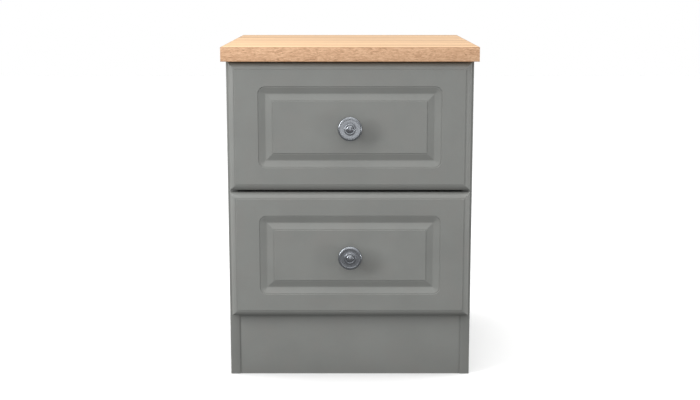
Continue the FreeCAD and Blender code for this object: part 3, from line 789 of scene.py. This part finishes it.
@dataclass
class Carcass:
    """The grey boards under the worktop, with the slightly eased edges of foil on chipboard."""

    shelf: FinishShelf
    board_ease: float = 0.25 * MM
    strip_ease: float = 0.45 * MM

    def build(self) -> None:
        """Makes every board and strip of the carcass."""
        boards = {
            "left_side_panel": "left_side_board",
            "right_side_panel": "right_side_board",
            "plinth": "plinth_board",
            "bottom_panel": "bottom_board",
            "front_top_rail": "front_rail_board",
            "rear_top_rail": "rear_rail_board",
        }
        for node, name in boards.items():
            self.board(node, name, "grey_board", self.board_ease)
        for side in Side:
            node = f"{side.value}_side_edging"
            self.board(node, f"{side.value}_side_strip", "grey_edging", self.strip_ease)
        self.board("back_panel", "back_board", "hardboard", self.board_ease)

    def board(self, node: str, name: str, slot: str, ease: float) -> None:
        """Makes one board from the frame's, with its edges eased.

        Args:
            node: the frame's piece.
            name: the new piece's name.
            slot: its material slot.
            ease: how far the rounding of its edges reaches.
        """
        piece = softened_twin(node, name, ease)
        self.shelf.hand_over(piece, "cabinet", slot, node)


@dataclass(frozen=True)
class Ring:
    """One closed outline of a drawer front, lying at one depth."""

    half_width: float
    half_height: float
    depth: float
    corner: float


@dataclass
class DrawerFront:
    """A drawer front routed from one wrapped board: a rounded border, a sunk channel and a raised field."""

    shelf: FinishShelf
    rear_ease: float = 0.4 * MM
    border_width: float = 10.3 * MM
    border_outer_slope: float = 78.0
    border_inner_slope: float = 17.0
    border_steps: int = 14
    ledge: float = 1.6 * MM
    quirk: float = 1.1 * MM
    quirk_run: float = 0.55 * MM
    channel_inset_x: float = 45.5 * MM
    channel_inset_z: float = 36.0 * MM
    channel_corner: float = 11.5 * MM
    channel_half: float = 11.75 * MM
    channel_depth: float = 4.2 * MM
    valley_half: float = 1.3 * MM
    valley_steps: int = 5
    sharp_corner: float = 0.4 * MM
    corner_steps: int = 8
    smooth_below: float = 14.0
    spread: float = 10.0 * MM

    def build(self) -> None:
        """Makes the upper front, then the lower one as its copy."""
        first_low, first_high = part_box("upper_drawer_front")
        upper = self.carve(first_low, first_high)
        low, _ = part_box("lower_drawer_front")
        lower = copy_piece(upper, "lower_front_panel", low - first_low)
        for level, piece in ((Level.UPPER, upper), (Level.LOWER, lower)):
            self.shelf.hand_over(piece, level.body, "grey_front", f"{level.value}_drawer_front")

    def carve(self, low: Vector, high: Vector) -> bpy.types.Object:
        """Makes the upper front, lying flat and then stood up in its place.

        The outlines are laid well apart, so that their corners match when they are joined, and are then
        brought to their depths.

        Args:
            low: the front's lowest corner.
            high: its highest corner.

        Returns:
            The finished front.
        """
        clear_selection()
        rings = self.rings((high.x - low.x) / 2, (high.z - low.z) / 2, high.y - low.y)
        bpy.ops.mesh.primitive_plane_add(size=1)
        piece = bpy.context.object
        piece.name = "upper_front_panel"
        bpy.ops.object.transform_apply(location=True, rotation=True, scale=True)
        open_mesh(piece)
        bpy.ops.mesh.select_all(action="SELECT")
        bpy.ops.mesh.delete(type="VERT")
        heights = [-self.spread * number for number in range(len(rings))]
        outlines = [self.lay_ring(piece, ring, height) for ring, height in zip(rings, heights)]
        for one, other in zip(outlines, outlines[1:]):
            pick_vertices(piece, lambda co, both=one | other: rounded(co) in both)
            bpy.ops.mesh.bridge_edge_loops()
        for end in (outlines[0], outlines[-1]):
            pick_vertices(piece, lambda co, ring=end: rounded(co) in ring)
            bpy.ops.mesh.edge_face_add()
        for ring, height, outline in zip(rings, heights, outlines):
            pick_vertices(piece, lambda co, ring=outline: rounded(co) in ring)
            bpy.ops.transform.translate(value=(0, 0, -ring.depth - height))
        close_mesh()
        face_outwards(piece)
        piece.rotation_euler = (QUARTER_TURN, 0, 0)
        piece.location = ((low.x + high.x) / 2, low.y, (low.z + high.z) / 2)
        settle(piece, self.smooth_below)
        return piece

    def lay_ring(self, piece: bpy.types.Object, ring: Ring, height: float) -> set[Point3]:
        """Adds one rounded outline to the mesh in edit mode.

        Args:
            piece: the front being made.
            ring: the outline.
            height: how high it is laid for now.

        Returns:
            The places of its vertices.
        """
        bpy.ops.mesh.select_all(action="DESELECT")
        bpy.ops.mesh.primitive_plane_add(size=1, location=(0, 0, height))
        bpy.ops.transform.resize(value=(2 * ring.half_width, 2 * ring.half_height, 1))
        bpy.ops.mesh.bevel(offset=ring.corner, segments=self.corner_steps, affect="VERTICES")
        places = picked_places(piece)
        bpy.ops.mesh.delete(type="ONLY_FACE")
        return places

    def rings(self, half_width: float, half_height: float, thickness: float) -> list[Ring]:
        """Every outline of the front, from its rear face round the border and over the channel to the field.

        Args:
            half_width: half the front's width.
            half_height: half its height.
            thickness: how thick the board is.

        Returns:
            The outlines in order.
        """
        found = []
        for inset, depth in [(self.rear_ease, thickness), (0.0, thickness - self.rear_ease)] + self.border():
            found.append(Ring(half_width - inset, half_height - inset, depth, self.sharp_corner))
        start_x = half_width - self.channel_inset_x
        start_z = half_height - self.channel_inset_z
        for inset, depth in self.channel():
            corner = max(self.channel_corner - inset, self.sharp_corner)
            found.append(Ring(start_x - inset, start_z - inset, depth, corner))
        return found

    def border(self) -> list[Point]:
        """The border's section: a convex curve up to a narrow ledge, then a small step up to the face.

        Returns:
            Points as distance in from the front's outer edge and depth below its face.
        """
        outer = math.radians(self.border_outer_slope)
        inner = math.radians(self.border_inner_slope)
        reach = self.border_width - self.quirk_run - self.ledge
        radius = reach / (math.sin(outer) - math.sin(inner))
        curve = []
        for step in range(self.border_steps + 1):
            slope = outer + (inner - outer) * step / self.border_steps
            inset = radius * (math.sin(outer) - math.sin(slope))
            curve.append((inset, self.quirk + radius * (math.cos(inner) - math.cos(slope))))
        return curve + [(reach + self.ledge, self.quirk), (self.border_width, 0.0)]

    def channel(self) -> list[Point]:
        """The channel's section: a step down, a ledge, a slope to the rounded valley, and the same back up.

        Returns:
            Points as distance in from the channel's outer edge and depth below the face.
        """
        start = self.quirk_run + self.ledge
        slope = (self.channel_depth - self.quirk) / (self.channel_half - start)
        down = [(0.0, 0.0), (self.quirk_run, self.quirk), (start, self.quirk)]
        for step in range(self.valley_steps + 1):
            left = self.valley_half * (1 - step / self.valley_steps)
            sag = slope * (left + self.valley_half * (1 - left / self.valley_half) ** 2 / 2)
            down.append((self.channel_half - left, self.channel_depth - sag))
        width = 2 * self.channel_half
        return down + [(width - inset, depth) for inset, depth in reversed(down[:-1])]


@dataclass(frozen=True)
class Sweep:
    """Part of an ellipse in a knob's section: its middle, half sizes, two angles in degrees and chords."""

    offset: Point
    size: Point
    start: float
    end: float
    steps: int

    def points(self, base: Point) -> list[Point]:
        """Points along the sweep.

        Args:
            base: the place that the ellipse's middle is offset from.

        Returns:
            The points, both ends included.
        """
        out, up = base[0] + self.offset[0], base[1] + self.offset[1]
        swept = self.end - self.start
        angles = [math.radians(self.start + swept * step / self.steps) for step in range(self.steps + 1)]
        return [(out + self.size[0] * math.cos(turn), up + self.size[1] * math.sin(turn)) for turn in angles]


@dataclass
class Knob:
    """A turned metal knob: a foot, a waist, a broad cap with a dished face, a boss and a small dome."""

    shelf: FinishShelf
    foot: tuple[Point, ...] = ((9.0 * MM, 0.0), (9.0 * MM, 1.5 * MM), (8.6 * MM, 2.0 * MM))
    waist: Sweep = Sweep((14.6 * MM, 7.6 * MM), (8.1 * MM, 5.9 * MM), 222, 118, 14)
    rim_drop: float = 5.3 * MM
    under: Sweep = Sweep((-2.6 * MM, -1.2 * MM), (2.6 * MM, 2.8 * MM), -100, 0, 6)
    shoulder: Sweep = Sweep((-3.2 * MM, -1.0 * MM), (3.2 * MM, 3.0 * MM), 0, 90, 12)
    dish: Sweep = Sweep((12.05 * MM, -3.3 * MM), (3.1 * MM, 0.12 * MM), -8, -172, 8)
    boss: Sweep = Sweep((7.6 * MM, -2.5 * MM), (1.0 * MM, 0.9 * MM), 0, 90, 6)
    ring: Sweep = Sweep((6.9 * MM, -2.3 * MM), (0.8 * MM, 0.7 * MM), 90, 180, 5)
    dome: Sweep = Sweep((0.0, -2.5 * MM), (5.9 * MM, 2.5 * MM), 6, 90, 12)
    turns: int = 72
    smooth_below: float = 40.0

    def build(self) -> None:
        """Turns the upper knob, then copies it for the lower drawer."""
        first_low, first_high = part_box("upper_knob")
        upper = self.turn(first_low, first_high)
        low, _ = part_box("lower_knob")
        lower = copy_piece(upper, "lower_turned_knob", low - first_low)
        for level, piece in ((Level.UPPER, upper), (Level.LOWER, lower)):
            self.shelf.hand_over(piece, level.body, "knob_metal", f"{level.value}_knob")

    def turn(self, low: Vector, high: Vector) -> bpy.types.Object:
        """Turns the upper knob upright and lays it down in its place.

        Args:
            low: the knob's lowest corner.
            high: its highest corner.

        Returns:
            The finished knob.
        """
        clear_selection()
        bpy.ops.mesh.primitive_plane_add(size=MM)
        piece = bpy.context.object
        piece.name = "upper_turned_knob"
        open_mesh(piece)
        bpy.ops.mesh.select_all(action="SELECT")
        bpy.ops.mesh.merge(type="CENTER")
        at = (0.0, 0.0)
        for point in self.section((high.x - low.x) / 2, high.y - low.y):
            step = (point[0] - at[0], 0, point[1] - at[1])
            bpy.ops.mesh.extrude_region_move(TRANSFORM_OT_translate={"value": step})
            at = point
        bpy.ops.mesh.select_all(action="SELECT")
        bpy.ops.mesh.spin(steps=self.turns, angle=FULL_TURN, center=(0, 0, 0), axis=(0, 0, 1))
        close_mesh()
        face_outwards(piece)
        piece.rotation_euler = (QUARTER_TURN, 0, 0)
        piece.location = ((low.x + high.x) / 2, high.y, (low.z + high.z) / 2)
        settle(piece, self.smooth_below)
        return piece

    def section(self, radius: float, height: float) -> list[Point]:
        """Half the knob's section, from the outer edge of its foot to the top of its dome.

        Args:
            radius: the cap's radius.
            height: the knob's height off the front.

        Returns:
            Points as distance from the axis and height.
        """
        edge = (radius, height - self.rim_drop)
        line = [*self.foot, *self.waist.points((0.0, 0.0)), *self.under.points(edge)]
        line += self.shoulder.points(edge)[1:]
        for sweep in (self.dish, self.boss, self.ring, self.dome):
            line += sweep.points((0.0, height))
        return line


@dataclass
class DrawerBox:
    """The walls of one drawer's box, with the slightly eased edges of foil-wrapped boards."""

    shelf: FinishShelf
    level: Level
    ease: float = 0.5 * MM
    facets: int = 3

    def build(self) -> None:
        """Makes the four walls."""
        for part in ("left_side", "right_side", "inner_front", "back"):
            node = f"{self.level.value}_drawer_{part}"
            piece = softened_twin(node, f"{self.level.value}_box_{part}", self.ease, self.facets)
            self.shelf.hand_over(piece, self.level.body, "drawer_board", node)


@dataclass
class Runners:
    """The four pairs of steel runners, with the soft edges of bent and coated sheet."""

    shelf: FinishShelf
    ease: float = 0.3 * MM

    def build(self) -> None:
        """Makes both halves of each drawer's runners."""
        for level in Level:
            for side in Side:
                for half in Rail:
                    self.rail(level, side, half)

    def rail(self, level: Level, side: Side, half: Rail) -> None:
        """Makes one half of a runner.

        Args:
            level: which drawer it carries.
            side: which side it is on.
            half: the half that is screwed to the cabinet, or to the drawer.
        """
        name = f"{level.value}_{side.value}_{half.value}"
        piece = softened_twin(f"{name}_runner", f"{name}_rail", self.ease)
        body = "cabinet" if half is Rail.CABINET else level.body
        self.shelf.hand_over(piece, body, "runner_steel", f"{name}_runner")


# ---------------------------------------------------------------------------------------------------------
# Studio
# ---------------------------------------------------------------------------------------------------------


@dataclass(frozen=True)
class SoftLight:
    """A soft rectangular lamp that points at a place."""

    name: str
    place: Point3
    aim: Point3
    size: Point
    power: float
    mirrored: bool = True

    def hang(self) -> None:
        """Adds the lamp to the scene."""
        lamp = bpy.data.lights.new(self.name, "AREA")
        lamp.shape = "RECTANGLE"
        lamp.size, lamp.size_y = self.size
        lamp.energy = self.power
        holder = bpy.data.objects.new(self.name, lamp)
        holder.location = self.place
        holder.visible_glossy = self.mirrored
        holder.rotation_euler = (Vector(self.aim) - Vector(self.place)).to_track_quat("-Z", "Y").to_euler()
        bpy.context.scene.collection.objects.link(holder)


@dataclass
class Studio:
    """A pale floor, a soft sky, soft lamps and the camera."""

    camera_place: Point3 = (0.0, -2.0643, 0.6264)
    camera_tilt: float = 79.762
    lens: float = 62.84
    sensor: float = 36.0
    view_reach: float = 200.0
    floor_size: float = 12.0
    floor_tone: float = 0.95
    floor_mottle: float = 0.01
    floor_roughness: float = 0.8
    floor_clouds: Pattern = Pattern(evenly(3), 2)
    haze: float = 0.30
    haze_below: float = 0.65
    horizon: Point = (-0.15, 0.1)
    zenith: float = 1.60
    zenith_focus: float = 2.0

    def build(self) -> None:
        """Sets up the whole studio."""
        self.set_camera()
        self.lay_floor()
        self.light_sky()
        for lamp in self.lamps():
            lamp.hang()
        view = bpy.context.scene.view_settings
        view.view_transform = "Standard"
        view.look = "None"

    def set_camera(self) -> None:
        """Stands the camera in front of the cabinet, a little above it."""
        lens = bpy.data.cameras.new("camera")
        lens.lens = self.lens
        lens.sensor_width = self.sensor
        lens.sensor_fit = "HORIZONTAL"
        lens.clip_end = self.view_reach
        holder = bpy.data.objects.new("camera", lens)
        holder.location = self.camera_place
        holder.rotation_euler = (math.radians(self.camera_tilt), 0, 0)
        bpy.context.scene.collection.objects.link(holder)
        bpy.context.scene.camera = holder

    def lay_floor(self) -> None:
        """Lays a plain pale floor that throws no light back up at the cabinet and isn't mirrored in it."""
        clear_selection()
        bpy.ops.mesh.primitive_plane_add(size=self.floor_size, location=(0, 0, CAD_BOUNDS[0][2]))
        floor = bpy.context.object
        floor.name = "floor"
        recipe = Recipe("pale_floor")
        clouds = recipe.noise(self.floor_clouds)
        tones = [evenly(self.floor_tone + change) for change in (-self.floor_mottle, self.floor_mottle)]
        shade = recipe.blend(recipe.span(clouds, 0.3, 0.7), *tones)
        floor.data.materials.append(recipe.finish(Base_Color=shade, Roughness=self.floor_roughness))
        floor.visible_diffuse = False
        floor.visible_glossy = False

    def light_sky(self) -> None:
        """Makes a white backdrop, whose light comes mostly from straight above and least from below."""
        world = bpy.data.worlds.new("studio")
        world.use_nodes = True
        sky = Nodes(world.node_tree)
        direction = sky.add("ShaderNodeTexCoord", {}, {}).outputs["Generated"]
        upward = sky.along(direction, Axis.Z)
        rise = sky.reckon("POWER", sky.reckon("MAXIMUM", upward, 0.0), self.zenith_focus)
        glow = sky.reckon("MULTIPLY", rise, self.zenith)
        haze = sky.span(upward, *self.horizon, self.haze_below * self.haze, self.haze)
        light = sky.reckon("ADD", glow, haze)
        seen = sky.add("ShaderNodeLightPath", {}, {}).outputs["Is Camera Ray"]
        strength = sky.add("ShaderNodeMix", {}, {"Factor": seen, "A": light, "B": 1.0}).outputs["Result"]
        backdrop = sky.tree.nodes["Background"]
        sky.feed(backdrop.inputs["Strength"], strength)
        sky.feed(backdrop.inputs["Color"], (1, 1, 1, 1))
        bpy.context.scene.world = world

    def lamps(self) -> list[SoftLight]:
        """A key lamp and its high helper on the left, four fills, and two unmirrored lamps for the sides.

        Returns:
            The lamps, not yet hung.
        """
        middle = (0.0, -0.1, 0.3)
        front = (0.0, -0.2, 0.3)
        plinth = (0.0, -0.17, 0.08)
        return [
            SoftLight("key", (-1.7, -1.23, 0.70), middle, (0.45, 0.45), 9.8),
            SoftLight("high_left", (-1.5, -1.2, 1.35), middle, (0.8, 0.8), 12.0),
            SoftLight("low_right", (1.75, -1.15, 0.15), middle, (0.4, 0.4), 5.4),
            SoftLight("overhead", (0.0, -0.3, 2.4), middle, (2.0, 1.6), 7.6),
            SoftLight("camera_side", (0.0, -2.6, 1.1), middle, (1.4, 1.0), 5.6),
            SoftLight("low_front", (0.0, -2.3, 0.12), plinth, (1.2, 0.25), 1.7),
            SoftLight("left_rim", (-2.0, 0.25, 0.5), front, (0.6, 1.4), 13.0, mirrored=False),
            SoftLight("right_rim", (2.0, 0.25, 0.5), front, (0.6, 1.4), 19.0, mirrored=False),
        ]


def main() -> None:
    """Builds the cabinet's looks in order, then the studio."""
    logging.basicConfig(level=logging.INFO, format="%(name)s: %(message)s")
    shelf = FinishShelf()
    shelf.stock()
    shelf.dress_frame()
    Worktop(shelf).build()
    Carcass(shelf).build()
    DrawerFront(shelf).build()
    Knob(shelf).build()
    for level in Level:
        DrawerBox(shelf, level).build()
    Runners(shelf).build()
    Studio().build()


if __name__ == "__main__":
    main()
